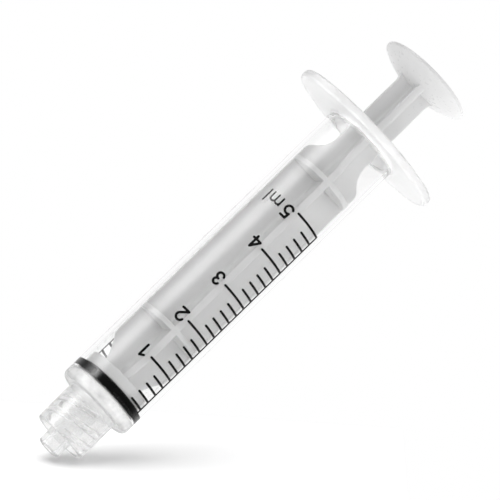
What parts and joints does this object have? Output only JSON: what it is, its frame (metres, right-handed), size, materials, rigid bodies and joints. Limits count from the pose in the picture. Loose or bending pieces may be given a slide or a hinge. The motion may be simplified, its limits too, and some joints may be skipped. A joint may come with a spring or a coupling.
{
  "type": "syringe",
  "caption": "Clear medicine syringe with an oval finger flange, a ribbed plunger with a thumb disc, a black seal ring, a printed volume scale and a locking Luer tip",
  "frame": {"origin": "Middle of the thumb disc's rim plane, at the bottom centre of the part, which stands on the thumb disc with the tip up", "axes": "+Z runs along the barrel's axis from the thumb disc to the tip, +X along the long axis of the finger flange, and -Y faces the front scale"},
  "size_m": [0.0296, 0.0178, 0.0872],
  "materials": {
    "clear_barrel": "clear glossy polypropylene",
    "natural_plastic": "milky translucent plastic, smooth with a soft sheen",
    "black_rubber": "black rubber, lightly lubricated",
    "scale_ink": "thin black printed ink"
  },
  "bodies": {
    "barrel": {"barrel": "clear_barrel", "scale_lines_front": "scale_ink", "scale_numerals_front": "scale_ink", "scale_lines_back": "scale_ink", "scale_numerals_back": "scale_ink"},
    "seal": {"seal_ring": "black_rubber"},
    "plunger": {"plunger_rod": "natural_plastic"}
  },
  "joints": [
    {"name": "plunger_slide", "type": "slide", "parent": "barrel", "child": "seal", "axis": [0, 0, -1], "range_m": [0, 0.046]},
    {"name": "plunger_spin", "type": "hinge", "parent": "seal", "child": "plunger", "pos_m": [0, 0, 0.07372], "axis": [0, 0, 1], "continuous": true}
  ]
}
